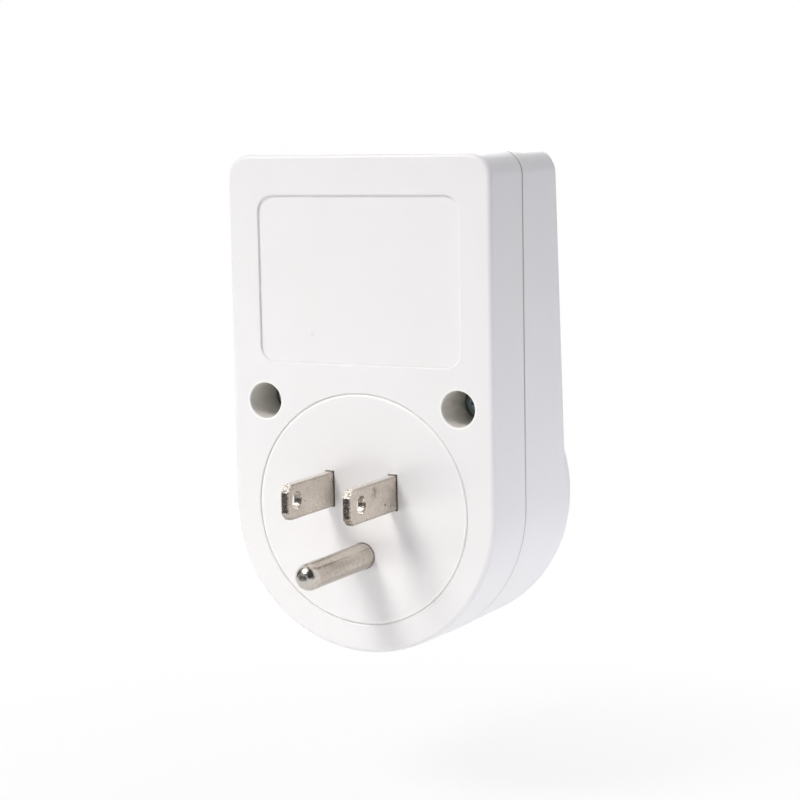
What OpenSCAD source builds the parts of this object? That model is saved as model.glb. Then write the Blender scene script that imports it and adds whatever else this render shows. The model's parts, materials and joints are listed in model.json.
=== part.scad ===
// Plug-in voltage protector: a two-part housing with a grounded plug on its wall side, a grounded
// outlet on its other side, and a relay board between them.
// Drawn lying on its wall face: x across, y up the wall, z depth from the wall face to the outlet.
// The last step stands it up, so that depth runs along -Y and the height along +Z.

/* [Housing] */
// Half width at the parting seam, which is also the radius of the round lower end
half_w = 26.5; // [25.6:0.1:30]
// Height of the top edge above the middle of the plug
top_h = 63.8; // [62.8:0.1:75]
// Radius of the two top corners
corner_r = 4.5; // [3.5:0.1:6]
// Wall thickness of both covers
wall = 2.0; // [1.8:0.1:2.4]
// Depth of the parting seam
seam_depth = 12.8; // [12:0.1:14]
// Visible gap between the two covers
seam_gap = 0.2; // [0.1:0.05:0.4]
// Depth of the round outlet collar
collar_depth = 34.1; // [33.6:0.1:36]
// How far the collar stands out of the front panel at the height of the plug
collar_proud = 2.1; // [1.5:0.1:2.5]
// How far the front panel falls back from there to the top edge
panel_fall = 3.6; // [1.5:0.1:3.8]
// How far the sides lean in from the seam to the wall face
rear_draft = 0.4; // [0.1:0.05:0.6]
// Rounding of the wall face edge
rear_edge_r = 0.8; // [0.4:0.1:1.2]
// Rounding of the front panel edge
panel_edge_r = 1.5; // [0.8:0.1:1.8]
// Rounding of the collar edge
collar_edge_r = 1.0; // [0.5:0.1:1.5]
// Bevel of both covers along the seam
seam_bevel = 0.15; // [0.05:0.05:0.3]
// Rounding round the openings and recesses of the wall side
rim_edge = 0.3; // [0.2:0.05:0.4]
// Height of the lip that locates the front cover
lip_h = 1.5; // [1:0.1:2.5]
// Clearance between pieces that slide together
fit = 0.1; // [0.05:0.01:0.15]

/* [Label recess] */
// Width of the bare recessed panel
label_w = 40.1; // [30:0.1:44]
// Height of the bare recessed panel
label_h = 30.1; // [24:0.1:32]
// Height of its middle
label_y = 41.15; // [40:0.1:44]
// Its corner radius
label_r = 3.0; // [1:0.1:5]
// Its depth
label_depth = 0.45; // [0.2:0.05:0.7]

/* [Housing screws] */
// Distance of each screw from the middle line
screw_x = 19.4; // [18.8:0.1:20]
// Height of the screws
screw_y = 19.0; // [18.6:0.1:19.4]
// Radius of the recess that hides the screw head
recess_r = 3.25; // [2.9:0.05:3.6]
// Depth of that recess
recess_depth = 10.0; // [8:0.1:11]
// Radius of the screw head
screw_head_r = 2.7; // [2.2:0.05:2.7]
// Height of the screw head
screw_head_h = 1.8; // [1.4:0.1:2.2]
// Radius of the screw shank
screw_r = 1.45; // [1.2:0.05:1.6]
// Length under the head
screw_len = 11.0; // [8:0.1:14]

/* [Plug] */
// Radius of the openings that hold the plug base and the outlet face
disc_r = 21.0; // [20:0.1:21.4]
// Ring gap round the plug base and the outlet face
ring_gap = 0.1; // [0.08:0.01:0.25]
// Rounding of the plug base's rim
disc_edge_r = 0.45; // [0.3:0.05:0.6]
// Distance between the flat blades
blade_pitch = 12.7; // [12.3:0.1:13.1]
// Height of the flat blades above the middle of the plug base
blade_y = 3.5; // [3:0.1:4]
// Distance of the ground pin below the blades
pin_drop = 11.89; // [11.5:0.01:12.3]
// Width of a flat blade
blade_w = 6.35; // [6:0.05:6.8]
// Thickness of a flat blade
blade_t = 1.52; // [1.3:0.01:1.6]
// Reach of the line blade
line_reach = 16.5; // [15.9:0.1:18.3]
// Reach of the neutral blade
neutral_reach = 17.5; // [15.9:0.1:18.3]
// Radius of the hole near a blade's tip
blade_hole_r = 1.65; // [1.4:0.05:2]
// Distance of that hole from the plug base
blade_hole_reach = 13.4; // [12:0.1:14]
// Corner chamfer at a blade's tip
blade_chamfer = 1.4; // [0.8:0.1:1.8]
// Bevel along a blade's edges and round its tip
blade_bevel = 0.2; // [0.1:0.05:0.3]
// Bevel round the blades on the plug base
base_bevel = 0.1; // [0.1:0.05:0.3]
// Radius of the ground pin
pin_r = 2.38; // [2.2:0.01:2.4]
// Reach of the ground pin
pin_reach = 22.0; // [20:0.1:23]
// Thickness of the pads that grip the blades behind the plug base
pad_h = 1.8; // [1.5:0.1:2]

/* [Outlet] */
// Width of the outlet slots
slot_w = 2.2; // [1.9:0.05:2.6]
// Length of the line slot
line_slot = 7.0; // [6.8:0.1:7.6]
// Length of the longer neutral slot
neutral_slot = 8.2; // [7.8:0.1:8.6]
// Half width of the ground opening
ground_r = 2.75; // [2.6:0.05:2.9]
// Chamfer round the outlet openings
lead_in = 0.5; // [0.3:0.05:0.7]
// Room for the wires between the plug's tails and the contact chambers
chamber_room = 4.7; // [4.5:0.1:5.3]
// Length of a contact chamber across the slot
chamber_w = 8.6; // [8.3:0.1:9]
// Wall of the contact chambers
chamber_wall = 1.3; // [1:0.1:1.6]
// Distance of the carrier plate's edge inside the outlet's opening
carrier_inset = 1.5; // [1:0.1:2]
// Thickness of the carrier plate
carrier_t = 1.8; // [1.5:0.1:2.2]
// Distance of the carrier plate's wall side behind the outlet face's back
carrier_drop = 8.4; // [7.8:0.1:9.4]
// Thickness of the contact metal
contact_t = 0.6; // [0.4:0.05:0.8]

/* [Board] */
// Thickness of the circuit board
board_t = 1.6; // [1.2:0.1:1.8]
// Height of the posts under the board
post_h = 2.8; // [2.4:0.1:3]
// Gap between the board's sides and the housing
board_side_gap = 1.3; // [0.9:0.1:1.7]
// Gap between the board's top edge and the housing
board_top_gap = 1.0; // [0.8:0.1:1.5]
// Height of the board's lower edge
board_low_y = 13.4; // [13:0.1:14]
// Gap between the board's narrow lower part and the screw towers
tongue_side_gap = 0.6; // [0.4:0.1:1]
// Gap between the board's wide part and the screw towers
tongue_top_gap = 0.8; // [0.6:0.1:1.2]
// Distance of the indicator row from the board's top edge
led_inset = 4.4; // [4:0.1:4.9]
// Distance between the indicators
led_pitch = 12.0; // [11.8:0.1:12.4]
// Radius of an indicator
led_r = 1.5; // [1.4:0.05:1.6]
// How far an indicator stands out of the panel
led_proud = 1.0; // [0.5:0.1:1.5]

/* [Relay] */
// Length of the relay case
relay_l = 32.2; // [31.6:0.1:32.4]
// Width of the relay case
relay_w = 27.0; // [26:0.1:27.2]
// Gap between the relay case and the front panel
relay_gap = 0.7; // [0.5:0.1:0.9]
// Height of the relay's middle on the board
relay_y = 38.0; // [37.9:0.05:38.1]
// Angle that the armature swings between rest and pulled in
swing = 4; // [2:0.5:4.5]
// Distance of the yoke's pivot edge below the top of the relay case
yoke_drop = 5.7; // [5.5:0.1:6]
// Thickness of the yoke
yoke_t = 1.5; // [1.2:0.1:1.7]
// Thickness of the armature
armature_t = 1.2; // [1:0.1:1.4]
// Radius of the coil winding
coil_r = 7.3; // [6.6:0.1:7.5]
// Radius of the contact buttons
button_r = 1.9; // [1.5:0.1:2.2]

/* [Hidden] */
$fn = 64;

// Overrun of every cut past the face it opens
cut = 1.0;

// Housing values
panel_low = collar_depth - collar_proud;
panel_top = panel_low - panel_fall;
slope = atan((panel_low - panel_top) / top_h);
rim_t = wall / 2;
face_wall = 2.2;
front_start = seam_depth + seam_gap / 2;
rear_end = seam_depth - seam_gap / 2;
collar_in_r = half_w - wall - 2 * fit;
collar_foot = panel_at(half_w) - wall / 2;

// The rounding of the panel edge stays this much outside the side walls, so that it meets them at an angle
edge_margin = 0.1;
edge_depth = panel_top - panel_edge_r;
edge_reach = half_w + edge_margin;
edge_top = top_h * cos(slope) + (panel_low - edge_depth) * sin(slope) + edge_margin;
edge_corner_r = corner_r + 3 * edge_margin;

// Radius of a rim's arc as a share of its rounding
rim_share = 1.1;

tower_wall = 1.35;
tower_r = recess_r + tower_wall;
boss_r = 3.6;
rib_t = 1.6;
led_tube_wall = 1.2;
led_tube_h = 1.2;

// Plug values
blade_x = blade_pitch / 2;
pin_y = blade_y - pin_drop;
flange_lip = 1.2;
flange_r = disc_r + flange_lip;
flange_t = 1.6;
pad_z = wall + flange_t + pad_h;
pad_wall = 1.6;
shoulder_t = 1.5;
shoulder_extra = 1.2;
tail_len = 2.6;
tail_inset = 0.9;
pin_root_r = pin_r - 3 * fit;
pin_root_out = 0.1;
pin_mouth_r = pin_r + fit;
pin_flange_r = 3.4;
pin_flange_t = 1.2;
pin_stud_r = 1.6;

// Outlet values
outlet_flange_t = 1.5;
outlet_back = collar_depth - face_wall - outlet_flange_t;
chamber_back = pad_z + shoulder_t + tail_len + chamber_room;
chamber_back_t = 1.4;
contact_mouth_gap = 2.6;
chamber_half_t = contact_mouth_gap / 2 + contact_t + 2 * fit;
contact_pinch_gap = 1.2;
contact_base_gap = 2.4;
contact_w = blade_w;
contact_tail_w = 4.0;
contact_tail_len = 2.5;
contact_mouth_inset = 0.9;
contact_leaf_shares = [0.28, 0.72, 0.84];
ground_tail_w = 3.0;
sleeve_r = pin_r;
sleeve_open_angle = 60;
sleeve_mouth_flare = 0.5;
ground_chamber_r = 3.6;
carrier_r = disc_r - carrier_inset;
carrier_z = outlet_back - carrier_drop;
column_r = 2.0;
column_angles = [18, 162, 270];
carrier_screw_angles = [206, 334];
small_post_r = 2.4;

// Small screws for the board and the contact carrier
small_head_r = 2.2;
small_head_h = 1.3;
small_screw_r = 1.0;
carrier_screw_len = 5.0;
board_screw_len = post_h + board_t - 2 * fit;

// Shares of a screw's radius: the width of its cross recess and the radius of its blunt tip
cross_share = 0.22;
tip_share = 0.25;

// Board values
board_half_w = half_w - wall - board_side_gap;
board_top_y = top_h - wall - board_top_gap;
tongue_half_w = screw_x - tower_r - tongue_side_gap;
tongue_y = screw_y + tower_r + tongue_top_gap;
led_y = board_top_y - led_inset;
led_panel_z = panel_at(led_y);
board_z = wall + post_h;
board_face = board_z + board_t;
lead_r = 0.3;
lead_out = 1.0;
lead_floor = board_z - lead_out;
board_corner_r = 2.0;
post_r = 2.6;
post_inset = [3.0, 3.5];
post_x = board_half_w - post_inset.x;
post_high = board_top_y - post_inset.y;
post_low = tongue_y + post_inset.y;
board_screw_places = [[post_x, post_high], [-post_x, post_low]];
board_peg_places = [[-post_x, post_high], [post_x, post_low]];
wire_r = 1.1;
wire_bend = 1.5;
plug_wire_z = pad_z + shoulder_t + tail_len / 2;
outlet_wire_z = chamber_back - chamber_back_t - contact_tail_len / 2;

// Relay values, with heights above the board's face
relay_h = panel_at(relay_y + relay_w / 2) - wall - board_face - relay_gap;
yoke_top = relay_h - yoke_drop;
relay_wall = 0.9;
relay_floor = 2.6;
relay_rim = 1.2;
hinge_inset = 2.4;
hinge_x = relay_l / 2 - hinge_inset;
core_r = 3.0;
pole_r = 4.6;
pole_t = 1.2;
bobbin_wall = 1.0;
bobbin_lip = 0.4;
bobbin_low = relay_floor + fit + yoke_t + fit / 2;
bobbin_high = yoke_top - pole_t - fit / 2;
coil_room = 0.9;
coil_x = hinge_x - yoke_t - coil_room - bobbin_lip - coil_r;
contact_inset = 5.3;
contact_x = contact_inset - relay_l / 2;
terminal_wall = 1.4;
terminal_h = 2.4;
yoke_w = 12.0;
yoke_margin = 0.4;
yoke_end = coil_x - pole_r - yoke_margin;
armature_w = 11.0;
armature_margin = 1.4;
armature_end = coil_x - pole_r - armature_margin;
armature_back = 0.4;
leaf_t = 0.3;
leaf_w = 7.0;
leaf_start = coil_x + pole_r;
leaf_margin = 0.5;
leaf_end = contact_x - button_r - leaf_margin;
button_t = 1.2;
rivet_r = 0.9;
rivet_pitch = 5.1;
rivets = pair_x([(armature_end + leaf_start) / 2, 0], rivet_pitch);
hinge_gap = 0.1;
closed_gap = 0.06;
hinge_z = yoke_top + hinge_gap;
leaf_z = hinge_z + armature_t;
shelf_z = leaf_z - 2 * button_t - closed_gap;
spring_rise = 3.7;
spring_reach = 4.0;
coil_pin_r = 0.4;
coil_pin_inset = 3.1;
coil_pin_pitch = 8.0;
coil_pins = pair_x([coil_x, relay_w / 2 - coil_pin_inset], coil_pin_pitch);
yoke_pin_pitch = 7.2;
yoke_pins = pair_y([hinge_x - yoke_t / 2, 0], yoke_pin_pitch);
fixed_inset = 2.8;
fixed_x = fixed_inset - relay_l / 2;
fixed_pin_pitch = 3.2;
fixed_pins = pair_y([fixed_x, 0], fixed_pin_pitch);
relay_pin_r = 0.6;
relay_pin_places = concat(yoke_pins, fixed_pins);
fixed_strip_t = 0.6;
fixed_strip_w = 5.0;

// The stop sits over the tip of the leaf at rest
stop_inset = 1.5;
stop_x = stop_inset - relay_l / 2;
stop_w = 4.0;
stop_t = 0.9;
stop_reach = 2.4;
stop_z = hinge_z + (hinge_x - leaf_end) * sin(swing) + (armature_t + leaf_t) * cos(swing) + hinge_gap;

// Board components: their lowest point above the board, then the two tall ones beside the relay
standoff = 1.0;
side_gap = 1.1;
side_y = (post_high + post_low) / 2;
varistor_gap = 0.2;
varistor_r = (panel_at(side_y) - wall - varistor_gap - board_face - standoff) / 2;
varistor_t = 5.0;
varistor_at = [-relay_l / 2 - side_gap - varistor_t / 2, side_y];
dropper_size = [6.0, 18.0, 12.0];
dropper_corner_r = 0.8;
dropper_pitch = 15.0;
dropper_at = [relay_l / 2 + side_gap + dropper_size.x / 2, side_y];

// Components on the narrow lower part of the board
tongue_gap = 1.0;
tongue_room = relay_y - relay_w / 2 - board_low_y;
tongue_mid_y = board_low_y + tongue_room / 2;
smoothing_r = 3.15;
smoothing_gap = 4.1;
smoothing_h = carrier_z - smoothing_gap - board_face - standoff / 2;
smoothing_pitch = 2.5;
smoothing_at = [smoothing_r + tongue_gap - tongue_half_w, tongue_mid_y + tongue_gap / 2];
groove_z = 1.0;
groove_depth = 0.35;
bridge_size = [8.4, 6.2, 3.3];
bridge_at = [0, tongue_mid_y];
bridge_leg_x = 2.54;
bridge_leg_y = 3.8;
bridge_legs = [for (sx = [-1, 1], sy = [-1, 1]) bridge_at + [sx * bridge_leg_x, sy * bridge_leg_y]];
resistor_r = 1.15;
resistor_margin = 1.35;
resistor_pitch = tongue_room - 2 * resistor_margin;
resistor_lead = 1.05;
resistor_len = resistor_pitch - 2 * resistor_lead;
resistor_inset = 1.5;
resistor_spacing = 2.8;
resistor_xs = [for (i = [0, 1]) tongue_half_w - resistor_inset - i * resistor_spacing];

// Components between the relay and the board's top edge, between the indicators
top_row_y = (relay_y + relay_w / 2 + board_top_y) / 2;
chip_size = [8.6, 3.9, 1.4];
chip_at = [-led_pitch / 2, top_row_y];
chip_leg_t = 0.2;
chip_leg_pitch = 1.27;
chip_legs = 7;
transistor_r = 2.3;
transistor_h = 4.6;
transistor_at = [led_pitch / 2, top_row_y];
transistor_leads = [for (i = [-1, 0, 1]) transistor_at + [i * chip_leg_pitch, 0]];
led_len = 5.3;
led_rim_r = 1.9;
led_rim_t = 1.0;
led_lead_pitch = 2.54;

// Every lead that passes through the board
lead_places = concat(
    pair_y(varistor_at, varistor_r),
    pair_y(dropper_at, dropper_pitch),
    pair_x(smoothing_at, smoothing_pitch),
    bridge_legs,
    transistor_leads,
    [for (x = resistor_xs) each pair_y([x, tongue_mid_y], resistor_pitch)],
    [for (i = [-1, 0, 1]) each pair_x([i * led_pitch, led_y], led_lead_pitch)]);

// Where the wires reach the board, and how far the two links bow outwards
wire_pad_inset = 2.0;
wire_pad_low = board_low_y + wire_pad_inset;
wire_pad_high = wire_pad_low + 4 * wire_r;
link_bow = 5.2;
ground_link_bow = 3.6;

// Depth of the front panel's outer face at a height
function panel_at(y) = panel_low - (panel_low - panel_top) * y / top_h;

// Two points a pitch apart, one on each side of a middle
function pair_x(at, pitch) = [for (side = [-1, 1]) [at.x + side * pitch / 2, at.y]];
function pair_y(at, pitch) = [for (side = [-1, 1]) [at.x, at.y + side * pitch / 2]];

// Strip of sheet metal along a bent centre line
function unit(v) = v / norm(v);
function left_of(v) = [-v.y, v.x];
function joint(p, i) =
    let(a = left_of(unit(i == 0 ? p[1] - p[0] : p[i] - p[i - 1])))
    let(b = left_of(unit(i == len(p) - 1 ? p[i] - p[i - 1] : p[i + 1] - p[i])))
    let(n = unit(a + b))
    n / (n * a);
function strip_points(p, t) = concat(
    [for (i = [0:len(p) - 1]) p[i] + joint(p, i) * t / 2],
    [for (i = [len(p) - 1:-1:0]) p[i] - joint(p, i) * t / 2]);

// Stands the lying model up
module placed() {
    rotate([90, 0, 0])
        children();
}

module both_sides() {
    children();
    mirror([1, 0, 0])
        children();
}

module block(low, high) {
    translate(low)
        cube(high - low);
}

module rod(r, z0, z1) {
    translate([0, 0, z0])
        cylinder(r = r, h = z1 - z0);
}

// Cross-section drawn in (x, z), extruded to both sides of y = 0
module across_y(width) {
    translate([0, width / 2, 0])
        rotate([90, 0, 0])
            linear_extrude(width)
                children();
}

// Flat sheet-metal strip with its centre line in (x, z)
module strip(points, t, width) {
    across_y(width)
        polygon(strip_points(points, t));
}

module rounded_rect(w, h, r) {
    square([w - 2 * r, h], center = true);
    square([w, h - 2 * r], center = true);
    for (sx = [-1, 1], sy = [-1, 1])
        translate([sx * (w / 2 - r), sy * (h / 2 - r)])
            circle(r = r);
}

module bevelled_rect(w, h, bevel) {
    x = w / 2;
    y = h / 2;
    polygon([[x, bevel - y], [x, y - bevel], [x - bevel, y], [bevel - x, y],
        [-x, y - bevel], [-x, bevel - y], [bevel - x, -y], [x - bevel, -y]]);
}

// Round wire along a route in one plane, with a true bend at each inner point
module wire(route, r, bend) {
    last = len(route) - 1;
    turns = [for (i = [0:last]) i == 0 || i == last ? 0 : turn_at(route, i)];
    cuts = [for (t = turns) bend * tan(abs(t) / 2)];
    for (i = [0:last - 1]) {
        dir = unit(route[i + 1] - route[i]);
        from = route[i] + dir * cuts[i];
        to = route[i + 1] - dir * cuts[i + 1];
        translate([from.x, from.y, 0])
            rotate([0, 90, atan2(dir.y, dir.x)])
                cylinder(r = r, h = norm(to - from));
    }
    for (i = [1:1:last - 1]) {
        dir = unit(route[i] - route[i - 1]);
        side = sign(turns[i]);
        start = route[i] - dir * cuts[i];
        centre = start + left_of(dir) * side * bend;
        translate([centre.x, centre.y, 0])
            rotate([0, 0, atan2(start.y - centre.y, start.x - centre.x) + min(turns[i], 0)])
                rotate_extrude(angle = abs(turns[i]))
                    translate([bend, 0])
                        circle(r = r);
    }
}

function turn_at(route, i) =
    let(a = unit(route[i] - route[i - 1]))
    let(b = unit(route[i + 1] - route[i]))
    atan2(a.x * b.y - a.y * b.x, a * b);

// Wire whose route is given as (y, z) points at one x
module side_wire(x, route, r, bend) {
    translate([x, 0, 0])
        rotate([90, 0, 90])
            wire(route, r, bend);
}

// Everything outside a circle of radius r, in the quarter that starts at its centre
module corner_waste(r) {
    difference() {
        square(r + 3 * cut);
        circle(r = r);
    }
}

// Plan of the housing above the middle of the plug: straight sides, two round corners and the top
module upper_plan(reach, top, r) {
    translate([-reach, 0])
        square([2 * reach, top - r]);
    translate([r - reach, 0])
        square([2 * (reach - r), top]);
    for (side = [-1, 1])
        translate([side * (reach - r), top - r])
            circle(r = r);
}

// Whole plan, pulled in from the outside by an inset, as straight walls between two depths
module plan_walls(inset, z0, z1) {
    translate([0, 0, z0])
        linear_extrude(z1 - z0) {
            upper_plan(half_w - inset, top_h - inset, corner_r - inset);
            circle(r = half_w - inset);
        }
}

// Cross-sections of the rounded edges: x outwards, y along the depth
module edge_section(kind, reach) {
    if (kind == "wall_edge")
        difference() {
            polygon([[0, 0], [reach - rear_draft, 0], [reach, rear_end - seam_bevel],
                [reach - seam_bevel, rear_end], [0, rear_end]]);
            translate([reach - rear_draft - rear_edge_r, rear_edge_r])
                mirror([0, 1])
                    corner_waste(rear_edge_r);
        }
    if (kind == "seam_edge")
        polygon([[0, front_start], [reach - seam_bevel, front_start],
            [reach, front_start + seam_bevel], [reach, collar_depth], [0, collar_depth]]);
    if (kind == "panel_edge")
        difference() {
            translate([0, -panel_low])
                square([reach + 2 * cut, panel_low]);
            translate([reach - panel_edge_r, -panel_edge_r])
                corner_waste(panel_edge_r);
        }
}

// Sweeps an edge section along the plan's sides, corners and top
module upper_outline(kind, reach, top, r, foot) {
    both_sides()
        translate([0, top - r, 0])
            rotate([90, 0, 0])
                linear_extrude(top - r - foot)
                    edge_section(kind, reach);
    both_sides()
        translate([reach - r, top - r, 0])
            rotate_extrude(angle = 90)
                edge_section(kind, r);
    translate([r - reach, top - r, 0])
        rotate([90, 0, 90])
            linear_extrude(2 * (reach - r))
                edge_section(kind, r);
}

// Places its children in the plane of the sloping front panel
module on_panel() {
    translate([0, 0, panel_low])
        rotate([-slope, 0, 0])
            children();
}

// Cross-section of the round collar from a depth to its face
module collar_section(foot) {
    difference() {
        translate([0, foot])
            square([half_w, collar_depth - foot]);
        translate([half_w - collar_edge_r, collar_depth - collar_edge_r])
            corner_waste(collar_edge_r);
    }
}

module at_screws() {
    for (side = [-1, 1])
        translate([side * screw_x, screw_y, 0])
            children();
}

module at_indicators() {
    for (i = [-1, 0, 1])
        translate([i * led_pitch, led_y, 0])
            children();
}

// Cross-section that rounds the rim of an opening in the wall face; its arc crosses both faces at an angle
module rim_section(reach) {
    difference() {
        translate([0, -cut])
            square([reach + rim_edge, rim_edge + cut]);
        translate([reach + rim_edge, rim_edge])
            circle(r = rim_edge * rim_share);
    }
}

module round_rim(r) {
    rotate_extrude()
        rim_section(r);
}

module label_recess() {
    run_x = label_w / 2 - label_r;
    run_y = label_h / 2 - label_r;
    translate([0, label_y, 0]) {
        translate([0, 0, -cut])
            linear_extrude(cut + label_depth)
                rounded_rect(label_w, label_h, label_r);
        for (turn = [0, 180])
            rotate([0, 0, turn]) {
                translate([run_x, run_y, 0])
                    rotate([90, 0, 0])
                        linear_extrude(2 * run_y)
                            rim_section(label_r);
                translate([-run_x, run_y, 0])
                    rotate([90, 0, 90])
                        linear_extrude(2 * run_x)
                            rim_section(label_r);
                translate([run_x, run_y, 0])
                    rotate_extrude(angle = 90)
                        rim_section(label_r);
                translate([-run_x, run_y, 0])
                    rotate_extrude(angle = 90, start = 90)
                        rim_section(label_r);
            }
    }
}

// Screw tower of the rear cover, tied to the side wall by a rib
module screw_tower() {
    rib_top = seam_depth - lip_h - 2 * fit;
    rod(tower_r, wall / 2, seam_depth);
    block([0, -rib_t / 2, wall / 2], [half_w - screw_x - wall / 2, rib_t / 2, rib_top]);
}

module screw_tower_bore() {
    rod(recess_r, -cut, recess_depth);
    rod(screw_r + 2 * fit, recess_depth - cut, seam_depth + cut);
}

module rear_block() {
    upper_outline("wall_edge", half_w, top_h, corner_r, 0);
    rotate_extrude(angle = 180, start = 180)
        edge_section("wall_edge", half_w);
}

module rear_cover() {
    color("white")
        placed() {
            difference() {
                union() {
                    difference() {
                        rear_block();
                        plan_walls(wall, wall, seam_depth + cut);
                        plan_walls(rim_t, seam_depth - lip_h - fit, seam_depth + cut);
                    }
                    for (side = [0, 1])
                        mirror([side, 0, 0])
                            translate([screw_x, screw_y, 0])
                                screw_tower();
                }
                label_recess();
                rod(disc_r, -cut, wall + cut);
                round_rim(disc_r);
                at_screws() {
                    screw_tower_bore();
                    round_rim(recess_r);
                }
            }
            for (at = board_screw_places)
                translate(at)
                    screw_post();
            for (at = board_peg_places)
                translate(at) {
                    rod(post_r, wall / 2, board_z);
                    rod(small_screw_r, wall, board_face + board_t / 2);
                }
        }
}

// Post under the board with a bore for its screw
module screw_post() {
    difference() {
        rod(post_r, wall / 2, board_z);
        rod(small_screw_r + fit / 2, wall, board_z + cut);
    }
}

module front_block() {
    intersection() {
        upper_outline("seam_edge", half_w, top_h, corner_r, 0);
        on_panel()
            upper_outline("panel_edge", edge_reach, edge_top, edge_corner_r, -panel_low);
    }
    rotate_extrude(angle = 180, start = 180)
        intersection() {
            edge_section("seam_edge", half_w);
            collar_section(front_start);
        }
    rotate_extrude(angle = 180)
        collar_section(collar_foot);
}

module front_hollow() {
    intersection() {
        translate([0, 0, seam_depth])
            linear_extrude(panel_low - seam_depth)
                upper_plan(half_w - wall, top_h - wall, corner_r - wall);
        on_panel()
            block([-half_w, -panel_low, -2 * panel_low], [half_w, 2 * top_h, -wall]);
    }
    rod(collar_in_r, seam_depth, collar_depth - face_wall);
}

module front_lip() {
    difference() {
        plan_walls(rim_t + fit, seam_depth - lip_h, front_start);
        plan_walls(wall, seam_depth - lip_h - cut, front_start + cut);
    }
}

module front_cover() {
    color("white")
        placed()
            difference() {
                union() {
                    difference() {
                        front_block();
                        front_hollow();
                    }
                    front_lip();
                    at_screws()
                        rod(boss_r, seam_depth, panel_at(screw_y) - wall / 2);
                    at_indicators()
                        rod(led_r + led_tube_wall, led_panel_z - wall - led_tube_h, led_panel_z - wall / 2);
                }
                rod(disc_r, collar_depth - face_wall - cut, collar_depth + cut);
                at_screws()
                    rod(screw_r + fit / 2, seam_depth - cut, recess_depth + screw_len + cut);
                at_indicators()
                    rod(led_r + fit, seam_depth, collar_depth);
            }
}

// Pan head screw with a cross recess; its head's underside is at depth z and its tip points along +z
module pan_screw(z, head_r, head_h, shank_r, length) {
    slot = head_r * cross_share;
    difference() {
        union() {
            rod(shank_r, z - head_h / 2, z + length - shank_r);
            translate([0, 0, z + length - shank_r])
                cylinder(r1 = shank_r, r2 = shank_r * tip_share, h = shank_r);
            translate([0, 0, z])
                mirror([0, 0, 1])
                    rotate_extrude() {
                        square([head_r - head_h, head_h]);
                        translate([head_r - head_h, 0])
                            intersection() {
                                circle(r = head_h);
                                square(head_h);
                            }
                    }
        }
        for (turn = [0, 90])
            rotate([0, 0, turn])
                block([-head_r / 2, -slot / 2, z - head_h - cut], [head_r / 2, slot / 2, z - head_h / 3]);
    }
}

module housing_screws() {
    color("dimgray")
        placed()
            at_screws()
                pan_screw(recess_depth, screw_head_r, screw_head_h, screw_r, screw_len);
}

module at_blades() {
    for (side = [-1, 1])
        translate([side * blade_x, blade_y, 0])
            children();
}

// Upright block centred on the axis, such as a slot or a tab
module slab(width, length, z0, z1) {
    block([-width / 2, -length / 2, z0], [width / 2, length / 2, z1]);
}

// Widens the mouth of a slot at the wall face
module slot_bevel(width, length, bevel) {
    intersection() {
        across_y(length + 2 * (bevel + cut))
            bevel_section(width, bevel);
        rotate([0, 0, 90])
            across_y(width + 2 * (bevel + cut))
                bevel_section(length, bevel);
    }
}

module bevel_section(width, bevel) {
    mouth = width / 2 + bevel + cut;
    polygon([[-width / 2, bevel], [width / 2, bevel], [mouth, -cut], [-mouth, -cut]]);
}

// Pad that grips a blade or the pin behind the plug base
module plug_pads() {
    at_blades()
        slab(blade_t + 2 * pad_wall, blade_w + 2 * pad_wall, wall, pad_z);
    translate([0, pin_y, 0])
        rod(pin_r + pad_wall, wall, pad_z);
}

// Half section of the plug base: a disc with a rounded rim, and the flange behind the housing's wall
module disc_section() {
    rim = disc_r - ring_gap;
    difference() {
        polygon([[0, 0], [rim, 0], [rim, wall + fit / 2], [flange_r, wall + fit / 2],
            [flange_r, wall + flange_t], [0, wall + flange_t]]);
        translate([rim - disc_edge_r, disc_edge_r])
            mirror([0, 1])
                corner_waste(disc_edge_r);
    }
}

module plug_base() {
    color("white")
        placed()
            difference() {
                union() {
                    rotate_extrude()
                        disc_section();
                    plug_pads();
                }
                at_blades() {
                    slab(blade_t + 2 * fit, blade_w + 2 * fit, -cut, pad_z + cut);
                    slot_bevel(blade_t + 2 * fit, blade_w + 2 * fit, base_bevel);
                }
                translate([0, pin_y, 0]) {
                    rod(pin_root_r + fit, -cut, pad_z + cut);
                    translate([0, 0, -cut])
                        cylinder(r1 = pin_mouth_r + cut, r2 = pin_root_r, h = pin_mouth_r + cut - pin_root_r);
                }
            }
}

// Flat blade with chamfered corners, bevelled edges, a hole, a shoulder and a narrow tail for its wire
module blade(reach) {
    difference() {
        intersection() {
            translate([-blade_t / 2, 0, 0])
                rotate([90, 0, 90])
                    linear_extrude(blade_t)
                        polygon([[-blade_w / 2, pad_z], [-blade_w / 2, blade_chamfer - reach],
                            [blade_chamfer - blade_w / 2, -reach], [blade_w / 2 - blade_chamfer, -reach],
                            [blade_w / 2, blade_chamfer - reach], [blade_w / 2, pad_z]]);
            across_y(blade_w + cut)
                polygon([[-blade_t / 2, pad_z], [-blade_t / 2, blade_bevel - reach],
                    [blade_bevel - blade_t / 2, -reach], [blade_t / 2 - blade_bevel, -reach],
                    [blade_t / 2, blade_bevel - reach], [blade_t / 2, pad_z]]);
            translate([0, 0, -reach])
                linear_extrude(reach + pad_z)
                    bevelled_rect(blade_t, blade_w, blade_bevel);
        }
        translate([0, 0, -blade_hole_reach])
            rotate([0, 90, 0])
                cylinder(r = blade_hole_r, h = blade_t + cut, center = true);
    }
    slab(blade_t, blade_w + 2 * shoulder_extra, pad_z, pad_z + shoulder_t);
    slab(blade_t, blade_w - 2 * tail_inset, pad_z + shoulder_t, pad_z + shoulder_t + tail_len);
}

module line_blade() {
    color("silver")
        placed()
            translate([blade_x, blade_y, 0])
                blade(line_reach);
}

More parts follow.
